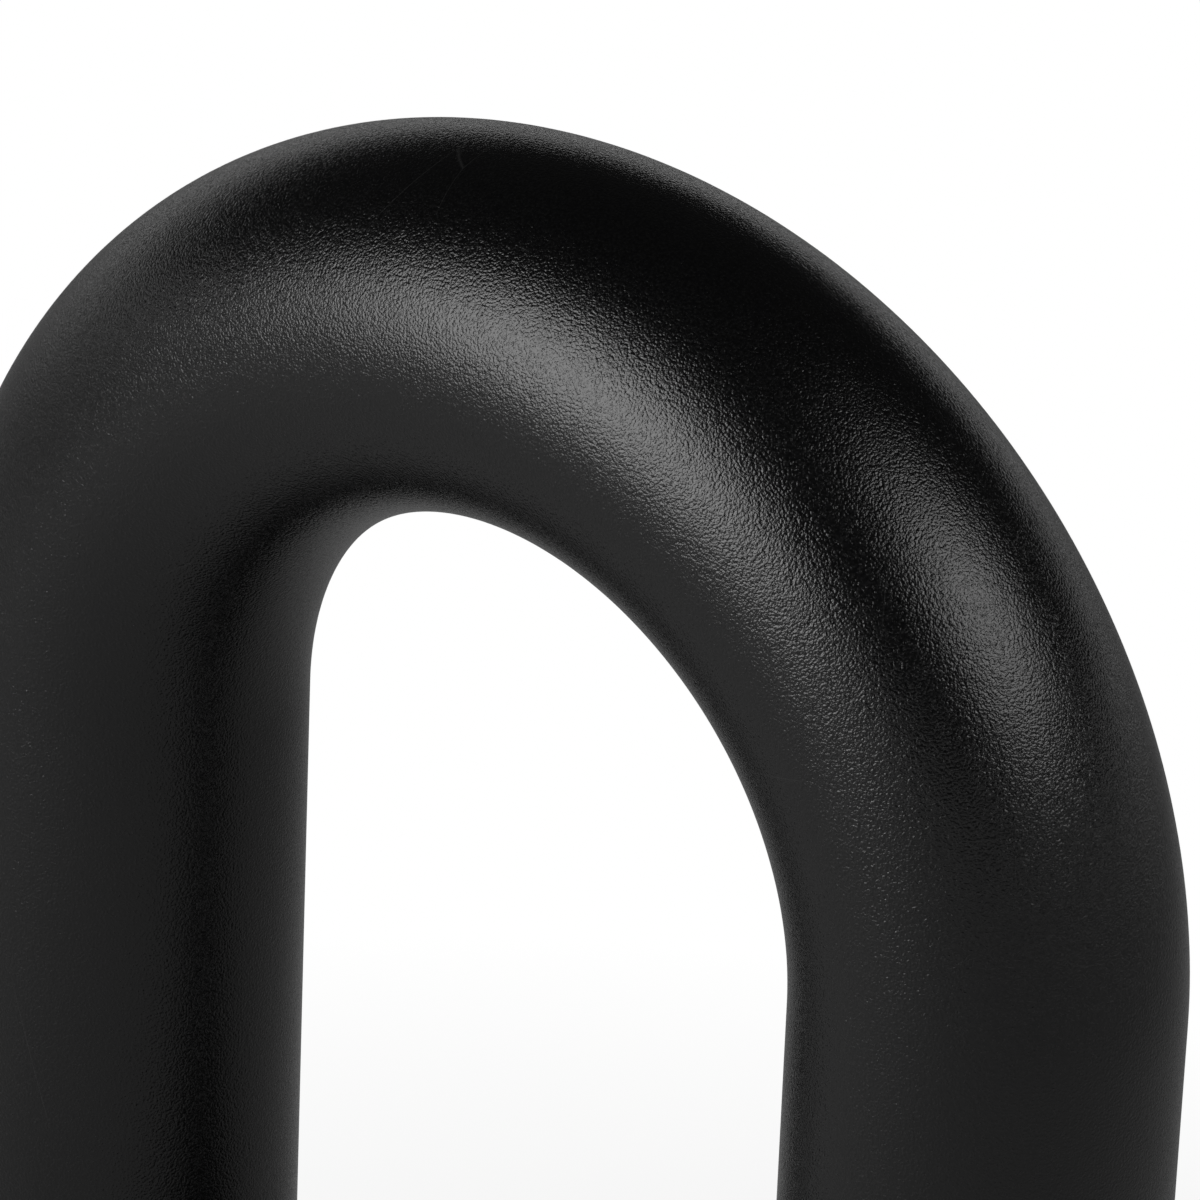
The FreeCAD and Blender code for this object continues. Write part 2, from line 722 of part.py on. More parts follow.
def socket(side, word):
    body = new_body(f"socket_{word}")
    ring_outer = gasket_outer + s.press_gap
    ring_inner = gasket_inner - s.press_gap
    screw = s.socket_screw_diameter / 2 + s.press_gap
    revolve(
        body,
        [
            (screw, socket_base),
            (socket_radius, socket_base),
            (socket_radius, collar_seat),
            (collar_radius, collar_seat),
            (collar_radius, collar_top - s.collar_chamfer),
            (collar_radius - s.collar_chamfer, collar_top),
            (ring_outer, collar_top),
            (ring_outer, gasket_base),
            (ring_inner, gasket_base),
            (ring_inner, collar_top),
            (socket_bore + s.collar_chamfer, collar_top),
            (socket_bore, collar_top - s.collar_chamfer),
            (socket_bore, socket_bore_floor),
            (screw, socket_bore_floor),
        ],
    )
    hole = [(0.0, lock_z, bolt_hole_radius)]
    cut_holes(body, "YZ_Plane", 0.0, hole, socket_radius * 2, forwards=True)
    on_leg(body, side)


def socket_gasket(side, word):
    gasket = ring("gasket", gasket_outer, gasket_inner, s.gasket_thickness, gasket_base)
    on_leg(as_node(gasket, f"socket_gasket_{word}"), side)


def socket_screw(side, word):
    body = new_body(f"socket_screw_{word}")
    head = s.screw_head_diameter / 2
    shank = s.socket_screw_diameter / 2
    top = socket_bore_floor - s.foot_tip_gap
    revolve(
        body,
        [
            (0.0, cover_top),
            (head - s.edge_break, cover_top),
            (head, cover_top + s.edge_break),
            (head, screw_seat),
            (shank, screw_seat),
            (shank, top - s.edge_break),
            (shank - s.edge_break, top),
            (0.0, top),
        ],
    )
    on_leg(body, side)


def screw_cover(side, word):
    cover = rod("cover", s.cover_diameter / 2, s.cover_thickness, x=leg_x * side, z=s.cover_recess)
    as_node(cover, f"screw_cover_{word}")


# The carrier that holds the lock work together.


def carrier_half(word, front_half):
    """Half of the carrier, split in the shackle's plane, with the bolt work's hollows cut out of it."""
    body = new_body(f"lock_carrier_{word}")
    depth = cavity_half_depth - s.press_gap
    low = cavity_floor + s.press_gap
    high = cavity_roof - s.press_gap
    drawing = sketch_on(body, "YZ_Plane", -carrier_end)
    edges = (-depth, 0.0) if front_half else (0.0, depth)
    draw_rectangle(drawing, *edges, low, high)
    pad(body, drawing, carrier_end * 2)
    dress(body, "Fillet", corner_edges(depth, low, high), Radius=cavity_corner)
    bolt_bore = [(0.0, lock_z, bolt_radius + s.free_gap)]
    cut_holes(body, "YZ_Plane", -carrier_end, bolt_bore, carrier_end * 2, forwards=True)
    bush_seat = [(0.0, lock_z, bush_radius + s.press_gap)]
    cut_holes(body, "YZ_Plane", -carrier_end, bush_seat, s.bush_length, forwards=True)
    cut_holes(body, "YZ_Plane", carrier_end, bush_seat, s.bush_length)
    hollow = carrier_web * 2
    pinion_room = [(0.0, lock_z, pitch_radius + addendum + s.free_gap)]
    cut_holes(body, "XZ_Plane", 0.0, pinion_room, hollow, symmetric=True)
    cut_rack_channels(body)
    way = {"forwards": front_half}
    screw = s.carrier_screw_diameter / 2 + s.press_gap
    cut_holes(body, "XZ_Plane", 0.0, carrier_screw_circles(screw), cavity_half_depth, **way)
    if front_half:
        cylinder = [(0.0, lock_z, cylinder_radius + s.press_gap)]
        start = clip_back - s.free_gap
        cut_holes(body, "XZ_Plane", start, cylinder, housing_depth, forwards=True)
        tail = [(0.0, lock_z, tail_radius + s.free_gap)]
        cut_holes(body, "XZ_Plane", 0.0, tail, s.cylinder_back, forwards=True)
        cut_holes(body, "XY_Plane", lock_pin_top, lock_pin_circle(0.0), s.housing_height)
    else:
        head = s.carrier_screw_head / 2 + s.fit_gap
        deep = s.carrier_screw_diameter + s.fit_gap
        circles = carrier_screw_circles(head)
        cut_holes(body, "XZ_Plane", -depth, circles, deep, forwards=True)
        bush = [(0.0, lock_z, rear_bush_radius + s.press_gap)]
        cut_holes(body, "XZ_Plane", 0.0, bush, rear_bush_start + s.journal_length)


def carrier_screw_circles(radius):
    x, z = s.carrier_screw_spread_x / 2, cavity_roof - lock_z - s.carrier_screw_edge
    return [(x * a, lock_z + z * b, radius) for a in (-1, 1) for b in (-1, 1)]


def cut_rack_channels(body):
    """The two channels in which the racks slide, above the pinion to the left and below it to the right."""
    drawing = sketch_on(body, "XZ_Plane")
    outer = bolt_flat_end + bolt_travel + s.free_gap
    inner = rack_inner_end + s.assembly_room
    near_side = s.bolt_flat_height - s.free_gap
    far_side = rack_top + s.free_gap
    draw_rectangle(drawing, -outer, inner, lock_z + near_side, lock_z + far_side)
    draw_rectangle(drawing, -inner, outer, lock_z - far_side, lock_z - near_side)
    pocket(body, drawing, (rack_half_width + s.free_gap) * 2, symmetric=True)


def carrier_screws():
    shank = s.carrier_screw_diameter / 2
    head_height = s.carrier_screw_diameter
    seat = cavity_half_depth - s.press_gap - s.carrier_screw_diameter - s.fit_gap
    screws = []
    for x, z, radius in carrier_screw_circles(shank):
        turned = {"x": x, "z": z, "axis": (1, 0, 0), "angle": 90.0}
        screw = doc.addObject("Part::Fuse", "carrier_screw")
        screw.Base = rod("screw_shank", radius, s.carrier_screw_length, y=seat, **turned)
        screw.Tool = rod("screw_head", s.carrier_screw_head / 2, head_height, y=seat + head_height, **turned)
        screws.append(checked(screw))
    group_node("carrier_screws", screws)


# The lock cylinder, its plug and the key, drawn about Z and then laid along the key's axis.


def cylinder_housing():
    body = new_body("cylinder_housing")
    tail_hole = tail_radius + s.fit_gap
    revolve(
        body,
        [
            (tail_hole, s.cylinder_back),
            (cylinder_radius, s.cylinder_back),
            (cylinder_radius, flange_back),
            (flange_radius, flange_back),
            (flange_radius, flange_front),
            (cylinder_bore, flange_front),
            (cylinder_bore, cylinder_inner_back),
            (tail_hole, cylinder_inner_back),
        ],
    )
    channel = [(-(cylinder_bore + sidebar_radius / 2), 0.0, sidebar_radius + s.fit_gap)]
    cut_holes(body, "XY_Plane", disc_back, channel, disc_stack, forwards=True)
    cut_holes(body, "XY_Plane", flange_front, drill_pin_circles(0.0), s.drill_pin_length)
    pin = [(lock_pin_x, lock_pin_y, s.lock_pin_diameter / 2)]
    cut_holes(body, "XZ_Plane", 0.0, pin, s.housing_height, symmetric=True)
    on_lock_axis(body)


def drill_pin_circles(gap):
    """The two hardened pins beside the keyhole, above and below it."""
    middle = (cylinder_bore + cylinder_radius) / 2
    return [(0.0, middle * side, s.drill_pin_diameter / 2 - gap) for side in (-1, 1)]


def drill_pins():
    length = s.drill_pin_length - s.press_gap
    low = flange_front - s.drill_pin_length
    circles = drill_pin_circles(s.press_gap)
    pins = [rod("hard_pin", radius, length, x=x, y=y, z=low) for x, y, radius in circles]
    on_lock_axis(group_node("drill_pins", pins))


def cylinder_seal():
    inner = cylinder_radius + s.press_gap
    seal = ring("seal", flange_radius, inner, s.cylinder_seal_thickness, cylinder_seal_back)
    on_lock_axis(as_node(seal, "cylinder_seal"))


def cylinder_lock_pin():
    x, y, radius = lock_pin_circle(s.press_gap)[0]
    length = lock_pin_top - s.press_gap - s.cover_recess
    as_node(rod("lock_pin", radius, length, x=x, y=y, z=s.cover_recess), "cylinder_lock_pin")


def escutcheon():
    body = new_body("escutcheon")
    top = front + s.escutcheon_rise
    dish = s.escutcheon_rise + s.escutcheon_chamfer
    revolve(
        body,
        [
            (cylinder_bore, flange_front),
            (escutcheon_radius, flange_front),
            (escutcheon_radius, top - s.escutcheon_chamfer),
            (escutcheon_radius - s.escutcheon_chamfer, top),
            (cylinder_bore + dish * 2, top),
            (cylinder_bore, front),
        ],
    )
    on_lock_axis(body)


def plug():
    body = new_body("plug")
    square_start = carrier_web
    pinion_back = -rack_half_width
    groove = tail_radius - s.clip_thickness
    clip_front = clip_back + s.clip_thickness + s.press_gap
    revolve(
        body,
        [
            (0.0, square_start),
            (tail_radius, square_start),
            (tail_radius, clip_back - s.press_gap),
            (groove, clip_back - s.press_gap),
            (groove, clip_front),
            (tail_radius, clip_front),
            (tail_radius, plug_back),
            (plug_radius, plug_back),
            (plug_radius, plug_front),
            (disc_radius + s.fit_gap, plug_front),
            (disc_radius + s.fit_gap, disc_back),
            (0.0, disc_back),
        ],
    )
    square = sketch_on(body, "XY_Plane", square_start)
    half = s.tail_square / 2
    draw_rectangle(square, -half, half, -half, half)
    pad(body, square, square_start - pinion_back, backwards=True)
    end = sketch_on(body, "XY_Plane", pinion_back)
    draw_circle(end, 0.0, 0.0, s.journal_diameter / 2)
    pad(body, end, s.journal_length, backwards=True)
    slot = sketch_on(body, "XY_Plane", disc_back)
    half_slot = sidebar_radius + s.fit_gap
    draw_rectangle(slot, -half_slot, half_slot, disc_radius / 2, s.plug_diameter)
    pocket(body, slot, disc_stack, forwards=True)
    on_lock_axis(body)


def keyway(drawing):
    half_width = s.key_width / 2 + s.key_play
    half_thickness = s.key_thickness / 2 + s.key_play
    draw_rectangle(drawing, -half_width, half_width, -half_thickness, half_thickness)


def plug_face():
    body = new_body("plug_face")
    disc = sketch_on(body, "XY_Plane", plug_front)
    draw_circle(disc, 0.0, 0.0, plug_radius)
    pad(body, disc, s.face_thickness)
    dress(body, "Chamfer", rim_at(front, plug_radius), Size=s.edge_break)
    slot = sketch_on(body, "XY_Plane", front)
    keyway(slot)
    pocket(body, slot, s.face_thickness)

    def round_keyway(edge):
        point = edge.Vertexes[0].Point
        return near(point.z, front) and isinstance(edge.Curve, Part.Line) and not near(point.x, 0.0)

    dress(body, "Chamfer", round_keyway, Size=s.edge_break)
    on_lock_axis(body)


def code_discs():
    """The discs, with their gates in line under the sidebar and a false gate each at its own angle."""
    discs = []
    half_width = s.key_width / 2 + s.key_play
    half_thickness = s.key_thickness / 2 + s.key_play
    thick = disc_thickness
    for index in range(DISCS):
        back = disc_back + s.fit_gap + disc_pitch * index
        false_angle = math.radians(200 + 17 * (index * 4 % 9))
        false_x, false_y = disc_radius * math.cos(false_angle), disc_radius * math.sin(false_angle)
        tools = (
            block("disc_slot", -half_width, half_width, -half_thickness, half_thickness, back, back + thick),
            rod("disc_gate", sidebar_radius + s.fit_gap, thick, y=sidebar_offset, z=back),
            rod("disc_false_gate", sidebar_radius / 2, thick, x=false_x, y=false_y, z=back),
        )
        discs.append(cut("disc", rod("disc_blank", disc_radius, thick, z=back), *tools))
    on_lock_axis(group_node("code_discs", discs))


def disc_spacers():
    spacers = []
    inner = s.key_width / 2 + s.key_play * 2
    outer = sidebar_offset - sidebar_radius - s.fit_gap
    for index in range(1, DISCS):
        back = disc_back + s.fit_gap + disc_pitch * index - s.spacer_play - s.spacer_thickness
        spacers.append(ring("spacer", outer, inner, s.spacer_thickness, back))
    on_lock_axis(group_node("disc_spacers", spacers))


def sidebar():
    length = disc_stack - s.fit_gap * 2
    bar = rod("release_bar", sidebar_radius, length, y=sidebar_offset, z=disc_back + s.fit_gap)
    on_lock_axis(group_node("sidebar", [bar]))


def plug_clip():
    inner = tail_radius - s.clip_thickness + s.press_gap
    outer = s.clip_diameter / 2
    mouth = inner * 0.8
    blank = ring("clip", outer, inner, s.clip_thickness, clip_back)
    opening = block("clip_mouth", -mouth, mouth, -outer, 0.0, clip_back, clip_back + s.clip_thickness)
    on_lock_axis(as_node(cut("open_clip", blank, opening), "plug_clip"))


def rear_bush():
    inner = s.journal_diameter / 2 + s.fit_gap
    bush = ring("tail_bush", rear_bush_radius, inner, s.journal_length, -rear_bush_start - s.journal_length)
    on_lock_axis(as_node(bush, "rear_bush"))


def involute_angle(ratio):
    """How far an involute has turned where its radius is 1/ratio of the base circle's."""
    angle = math.acos(ratio)
    return math.tan(angle) - angle


def pinion_outline(height):
    """The pinion's outline as a wire at that height, with one tooth centred on +X."""
    pitch, module = number(pitch_radius), number(s.gear_module)
    base = pitch * math.cos(PRESSURE_ANGLE)
    tip = pitch + number(addendum)
    root = pitch - number(dedendum)
    half_pitch_angle = (math.pi * module / 2 - number(s.gear_backlash) / 2) / (2 * pitch)
    at_pitch = involute_angle(base / pitch)

    def flank_point(radius, turn, side):
        half = half_pitch_angle + at_pitch - (involute_angle(base / radius) if radius > base else 0.0)
        return polar(radius, turn + side * half)

    def polar(radius, angle):
        return Vector(radius * math.cos(angle), radius * math.sin(angle), height)

    radii = [base + (tip - base) * i / (FLANK_POINTS - 1) for i in range(FLANK_POINTS)]
    edges = []
    for index in range(TEETH):
        turn = 2 * math.pi * index / TEETH
        following = turn + 2 * math.pi / TEETH
        for side in (-1, 1):
            curve = Part.BSplineCurve()
            curve.interpolate([flank_point(radius, turn, side) for radius in radii])
            edges.append(curve.toShape())
            edges.append(Part.makeLine(flank_point(root, turn, side), flank_point(base, turn, side)))
        start, end = (flank_point(tip, turn, side) for side in (-1, 1))
        edges.append(Part.Arc(start, polar(tip, turn), end).toShape())
        start, end = flank_point(root, turn, 1), flank_point(root, following, -1)
        edges.append(Part.Arc(start, polar(root, turn + math.pi / TEETH), end).toShape())
    return Part.Wire(Part.__sortEdges__(edges))


def pinion():
    """An involute pinion: its flanks follow a formula, so its shape is made from curves."""
    width = number(s.pinion_width) - 2 * number(s.fit_gap)
    side = number(s.tail_square) + 2 * number(s.press_gap)
    blank = Part.Face(pinion_outline(-width / 2)).extrude(Vector(0, 0, width))
    bore = Part.makeBox(side, side, width, Vector(-side / 2, -side / 2, -width / 2))
    wheel = doc.addObject("Part::Feature", "gear")
    wheel.Shape = blank.cut(bore)
    on_lock_axis(as_node(wheel, "pinion"))


def key_blade():
    body = new_body("key_blade")
    half = s.key_width / 2
    tang_half = s.key_tang_width / 2
    tang_end = key_shoulder + s.key_tang_length
    bevel = s.key_width / 4
    outline = sketch_on(body, "XZ_Plane")
    draw_outline(
        outline,
        [
            (-half + bevel, key_tip),
            (half - bevel, key_tip),
            (half, key_tip + bevel),
            (half, key_shoulder + s.key_neck_gap),
            (tang_half, key_shoulder + s.key_neck_gap),
            (tang_half, tang_end),
            (-tang_half, tang_end),
            (-tang_half, key_shoulder + s.key_neck_gap),
            (-half, key_shoulder + s.key_neck_gap),
            (-half, key_tip + bevel),
        ],
    )
    pad(body, outline, s.key_thickness, symmetric=True)
    cuts = sketch_on(body, "XZ_Plane")
    cut_radius = disc_thickness / 2
    for index, depth in enumerate(KEY_CUTS, 1):
        height = disc_back + s.fit_gap + disc_pitch * index + disc_thickness / 2
        for side in (-1, 1):
            draw_circle(cuts, (half + cut_radius - depth) * side, height, cut_radius)
    pocket(body, cuts, s.key_thickness * 2, symmetric=True)
    on_lock_axis(body)


def key_head():
    body = new_body("key_head")
    half = s.key_head_width / 2
    end = key_shoulder + s.key_head_length
    outline = sketch_on(body, "XZ_Plane")
    draw_rectangle(outline, -half, half, key_shoulder, end)
    pad(body, outline, s.key_head_thickness, symmetric=True)

    def outer_corner(edge):
        return is_straight(edge, Vector(0, 1, 0)) and near(edge.Vertexes[0].Z, end)

    def inner_corner(edge):
        return is_straight(edge, Vector(0, 1, 0)) and near(edge.Vertexes[0].Z, key_shoulder)

    def round_the_faces(edge):
        return all(near(abs(vertex.Y), s.key_head_thickness / 2) for vertex in edge.Vertexes)

    dress(body, "Fillet", outer_corner, Radius=s.key_head_corner)
    dress(body, "Fillet", inner_corner, Radius=s.key_head_corner / 2)
    dress(body, "Fillet", round_the_faces, Radius=s.key_head_rounding)
    hole = [(0.0, end - s.ring_hole_diameter, s.ring_hole_diameter / 2)]
    cut_holes(body, "XZ_Plane", 0.0, hole, s.key_head_thickness * 2, symmetric=True)
    tang = sketch_on(body, "XZ_Plane")
    tang_half = s.key_tang_width / 2 + s.press_gap
    blade_half = s.key_width / 2 + s.press_gap
    step = key_shoulder + s.key_neck_gap - s.press_gap
    tang_end = key_shoulder + s.key_tang_length + s.press_gap
    draw_outline(
        tang,
        [
            (-blade_half, key_shoulder - s.key_neck_gap),
            (blade_half, key_shoulder - s.key_neck_gap),
            (blade_half, step),
            (tang_half, step),
            (tang_half, tang_end),
            (-tang_half, tang_end),
            (-tang_half, step),
            (-blade_half, step),
        ],
    )
    pocket(body, tang, s.key_thickness + s.press_gap * 2, symmetric=True)
    on_lock_axis(body)


# The bolt work. Its left-hand pieces are drawn in place, and its right-hand pieces are the same turned round.


def bolt(side, word):
    body = new_body(f"bolt_{word}")
    drawing = sketch_on(body, "YZ_Plane", -bolt_nose)
    draw_circle(drawing, 0.0, lock_z, bolt_radius)
    pad(body, drawing, bolt_nose - s.bolt_inner_end)

    def nose(edge):
        return isinstance(edge.Curve, Part.Circle) and near(edge.Curve.Center.x, -bolt_nose)

    dress(body, "Chamfer", nose, Size=s.bolt_nose_chamfer)
    flat = sketch_on(body, "XZ_Plane")
    draw_rectangle(flat, -bolt_flat_end, 0.0, lock_z + s.bolt_flat_height, lock_z + s.bolt_diameter)
    pocket(body, flat, s.bolt_diameter * 2, symmetric=True)
    pin = [(-rack_pin_x, 0.0, s.rack_pin_diameter / 2)]
    cut_holes(body, "XY_Plane", rack_pin_low - s.press_gap, pin, s.bolt_diameter * 2, forwards=True)
    for_side(body, side)


def rack(side, word):
    body = new_body(f"rack_{word}")
    outer = bolt_flat_end - s.press_gap
    back = sketch_on(body, "XZ_Plane")
    foot_inner = s.bolt_inner_end
    draw_outline(
        back,
        [
            (-outer, lock_z + s.bolt_flat_height),
            (-foot_inner, lock_z + s.bolt_flat_height),
            (-foot_inner, lock_z + rack_root),
            (rack_inner_end, lock_z + rack_root),
            (rack_inner_end, lock_z + rack_top),
            (-outer, lock_z + rack_top),
        ],
    )
    pad(body, back, s.pinion_width, symmetric=True)
    tooth = sketch_on(body, "XZ_Plane")
    slope = math.tan(PRESSURE_ANGLE)
    half = tooth_pitch / 4 - s.gear_backlash / 4
    middle = tooth_pitch * (0.5 - RACK_TEETH_OUTWARD)
    tip_half = half - addendum * slope
    root_half = half + dedendum * slope
    draw_outline(
        tooth,
        [
            (middle - tip_half, lock_z + rack_tip),
            (middle + tip_half, lock_z + rack_tip),
            (middle + root_half, lock_z + rack_root),
            (middle - root_half, lock_z + rack_root),
        ],
    )
    first = pad(body, tooth, s.pinion_width, symmetric=True)
    teeth = body.newObject("PartDesign::LinearPattern", "teeth")
    teeth.Originals = [first]
    teeth.Direction = (tooth, ["H_Axis"])
    bind(teeth, "Length", tooth_pitch * (RACK_TEETH - 1))
    teeth.Occurrences = RACK_TEETH
    body.Tip = teeth
    checked(teeth)
    pin = [(-rack_pin_x, 0.0, s.rack_pin_diameter / 2)]
    cut_holes(body, "XY_Plane", lock_z, pin, s.housing_height, forwards=True)
    for_side(body, side)


def rack_pin(side, word):
    length = lock_z + rack_top - s.fit_gap - rack_pin_low
    pin = rod("joining_pin", s.rack_pin_diameter / 2 - s.press_gap, length, x=-rack_pin_x, z=rack_pin_low)
    for_side(group_node(f"rack_pin_{word}", [pin]), side)


def bolt_bush(side, word):
    inner = bolt_radius + s.fit_gap
    bush = ring("bolt_guide", bush_radius, inner, s.bush_length, bush_inner_end)
    as_node(place(bush, z=lock_z, axis=(0, 1, 0), angle=90.0 * side), f"bolt_bush_{word}")


def build():
    shackle_shell()
    shackle_core()
    core_infill()
    crossbar_housing()
    armour_sleeve()
    end_plug_pins()
    carrier_half("front", True)
    carrier_half("rear", False)
    carrier_screws()
    cylinder_housing()
    cylinder_seal()
    cylinder_lock_pin()
    drill_pins()
    escutcheon()
    rear_bush()
    plug()
    plug_face()
    plug_clip()
    code_discs()
    disc_spacers()
    sidebar()
    pinion()
    key_blade()
    key_head()
    two_sided = (
        foot,
        foot_pin,
        end_plug,
        end_seal,
        socket,
        socket_gasket,
        socket_screw,
        screw_cover,
        bolt,
        rack,
        rack_pin,
        bolt_bush,
    )
    for make in two_sided:
        for side, word in SIDES:
            make(side, word)


def write_out():
    """Checks every object of the document, then writes one STEP file per node."""
    doc.recompute()
    for thing in doc.Objects:
        if "Invalid" in thing.State or "Error" in thing.State:
            raise RuntimeError(f"{thing.Label} failed: {thing.State}")
    for node in nodes:
        if node.Shape.isNull() or not node.Shape.isValid() or not node.Shape.Solids:
            raise RuntimeError(f"{node.Label} has no valid shape")
    os.makedirs("parts", exist_ok=True)
    for node in nodes:
        node.Shape.exportStep(os.path.join("parts", f"{node.Label}.step"))
    print(f"{len(nodes)} nodes, bolt travel {number(bolt_travel):.3f} mm")


build()
write_out()
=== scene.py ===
import json
import math

import bmesh
import bpy
from mathutils import Matrix, Vector


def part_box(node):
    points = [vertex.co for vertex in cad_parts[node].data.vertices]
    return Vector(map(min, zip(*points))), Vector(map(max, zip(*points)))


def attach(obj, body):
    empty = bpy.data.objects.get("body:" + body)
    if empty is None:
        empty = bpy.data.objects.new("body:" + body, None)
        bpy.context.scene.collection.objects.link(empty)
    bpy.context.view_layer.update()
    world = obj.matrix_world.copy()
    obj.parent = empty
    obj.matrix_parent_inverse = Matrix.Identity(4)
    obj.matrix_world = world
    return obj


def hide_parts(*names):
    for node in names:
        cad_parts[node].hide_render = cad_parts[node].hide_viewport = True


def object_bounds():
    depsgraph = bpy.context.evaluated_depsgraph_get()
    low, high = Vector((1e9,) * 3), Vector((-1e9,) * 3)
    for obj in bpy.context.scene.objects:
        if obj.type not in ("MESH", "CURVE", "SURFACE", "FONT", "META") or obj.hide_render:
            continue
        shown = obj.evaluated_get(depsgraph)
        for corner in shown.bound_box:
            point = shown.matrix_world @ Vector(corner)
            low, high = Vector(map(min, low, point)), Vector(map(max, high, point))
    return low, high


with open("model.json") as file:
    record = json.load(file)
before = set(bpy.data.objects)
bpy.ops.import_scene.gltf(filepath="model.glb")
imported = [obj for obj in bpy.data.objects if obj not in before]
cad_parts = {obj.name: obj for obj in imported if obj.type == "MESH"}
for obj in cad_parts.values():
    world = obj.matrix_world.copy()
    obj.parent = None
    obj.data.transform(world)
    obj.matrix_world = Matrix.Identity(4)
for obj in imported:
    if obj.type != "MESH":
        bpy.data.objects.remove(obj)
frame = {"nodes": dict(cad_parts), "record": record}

CAD_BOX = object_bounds()

# ---------------------------------------------------------------- places

shell_low, shell_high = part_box("shackle_shell")
BAR = (shell_high.y - shell_low.y) / 2      # radius of the thick bar
LEG = shell_high.x - BAR                    # each leg's distance from the middle
LEG_FOOT = shell_low.z                      # where the coated legs end
BEND = shell_high.z - shell_high.x          # height of the bend's centre
WALL = 0.007                                # the coated tube's own wall
RIM_BEVEL = 0.0015                          # the bevel round each leg's end
ROUND_SIDES = 128                           # sides of a round piece
SEAL_ROOM = 0.003                           # from a foot to the seal ring round it
RIBS = 6                                    # on each face of the key's head
RIB_PITCH = 0.0019
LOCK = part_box("plug_face")
LOCK_HEIGHT = (LOCK[0].z + LOCK[1].z) / 2   # the keyway's height


# ---------------------------------------------------------------- finishes

GRAINS_PER_METRE = 2300     # the powder coat's grain
GRAIN_DEPTH = 0.00015
TOOL_PITCH = 0.00045        # feed marks on turned feet and sockets
FACE_PITCH = 0.0004         # and on the metal round the keyway


class Finish:
    """A material, with short names for the nodes that give it grain, marks and wear."""

    def __init__(self, name, colour, roughness, metallic=0.0):
        self.material = bpy.data.materials.new(name)
        self.material.use_nodes = True
        self.nodes = self.material.node_tree.nodes
        self.links = self.material.node_tree.links
        self.shader = self.nodes["Principled BSDF"]
        self.shader.inputs["Base Color"].default_value = (*colour, 1)
        self.shader.inputs["Roughness"].default_value = roughness
        self.shader.inputs["Metallic"].default_value = metallic
        self.place = self.nodes.new("ShaderNodeTexCoord").outputs["Object"]

    def put(self, source, node, socket):
        """Feeds a socket from another node's output or with a plain value."""
        if isinstance(source, bpy.types.NodeSocket):
            self.links.new(source, node.inputs[socket])
        else:
            node.inputs[socket].default_value = source

    def mapped(self, stretch=(1, 1, 1), turn=(0, 0, 0), shift=(0, 0, 0)):
        node = self.nodes.new("ShaderNodeMapping")
        self.put(self.place, node, "Vector")
        node.inputs["Scale"].default_value = stretch
        node.inputs["Rotation"].default_value = [math.radians(angle) for angle in turn]
        node.inputs["Location"].default_value = shift
        return node.outputs["Vector"]

    def noise(self, per_metre, detail=2.0, stretch=(1, 1, 1), turn=(0, 0, 0)):
        node = self.nodes.new("ShaderNodeTexNoise")
        self.put(self.mapped(stretch, turn), node, "Vector")
        node.inputs["Scale"].default_value = per_metre
        node.inputs["Detail"].default_value = detail
        return node.outputs["Fac"]

    def cells(self, per_metre, feature="F1", stretch=(1, 1, 1), turn=(0, 0, 0)):
        node = self.nodes.new("ShaderNodeTexVoronoi")
        node.feature = feature
        self.put(self.mapped(stretch, turn), node, "Vector")
        node.inputs["Scale"].default_value = per_metre
        return node.outputs["Distance"]

    def calculate(self, operation, first, second=0.0):
        """The result of one maths node."""
        node = self.nodes.new("ShaderNodeMath")
        node.operation = operation
        self.put(first, node, 0)
        self.put(second, node, 1)
        return node.outputs[0]

    def ramp(self, source, start, end, low=0.0, high=1.0):
        """Carries source's start to low and its end to high, and holds it level outside them."""
        node = self.nodes.new("ShaderNodeMapRange")
        self.put(source, node, "Value")
        for socket, value in zip(("From Min", "From Max", "To Min", "To Max"), (start, end, low, high)):
            node.inputs[socket].default_value = value
        return node.outputs["Result"]

    def blend(self, amount, first, second):
        """A colour between two, by amount."""
        node = self.nodes.new("ShaderNodeMix")
        node.data_type = "RGBA"
        self.put(amount, node, 0)
        for socket, colour in ((6, first), (7, second)):
            self.put((*colour, 1) if isinstance(colour, tuple) else colour, node, socket)
        return node.outputs[2]

    def relief(self, height, depth, strength=1.0):
        """Raises the surface by up to depth metres, on top of any relief given before."""
        node = self.nodes.new("ShaderNodeBump")
        node.inputs["Distance"].default_value = depth
        node.inputs["Strength"].default_value = strength
        self.put(height, node, "Height")
        before = self.shader.inputs["Normal"].links
        if before:
            self.links.new(before[0].from_socket, node.inputs["Normal"])
        self.links.new(node.outputs["Normal"], self.shader.inputs["Normal"])

    def colour(self, source):
        self.put(source, self.shader, "Base Color")

    def rough(self, source):
        self.put(source, self.shader, "Roughness")

    def turned_place(self, centre):
        """Distance from a standing line at the same place on both sides of the lock."""
        parts = self.nodes.new("ShaderNodeSeparateXYZ")
        self.put(self.place, parts, 0)
        across = self.calculate("SUBTRACT", self.calculate("ABSOLUTE", parts.outputs["X"]), centre)
        squares = [self.calculate("MULTIPLY", part, part) for part in (across, parts.outputs["Y"])]
        return self.calculate("SQRT", self.calculate("ADD", *squares)), parts.outputs["Z"]


def hairlines(finish, per_metre, turn, width, share):
    """A few thin scratches: 1 on a scratch and 0 elsewhere. Share sets how little of the surface has any."""
    edge = finish.cells(per_metre, "DISTANCE_TO_EDGE", stretch=(1, 0.035, 0.5), turn=turn)
    line = finish.ramp(edge, 0.0, width, 1.0, 0.0)
    where = finish.ramp(finish.noise(19, 1.0, turn=turn), share, share + 0.03)
    return finish.calculate("MULTIPLY", line, where)


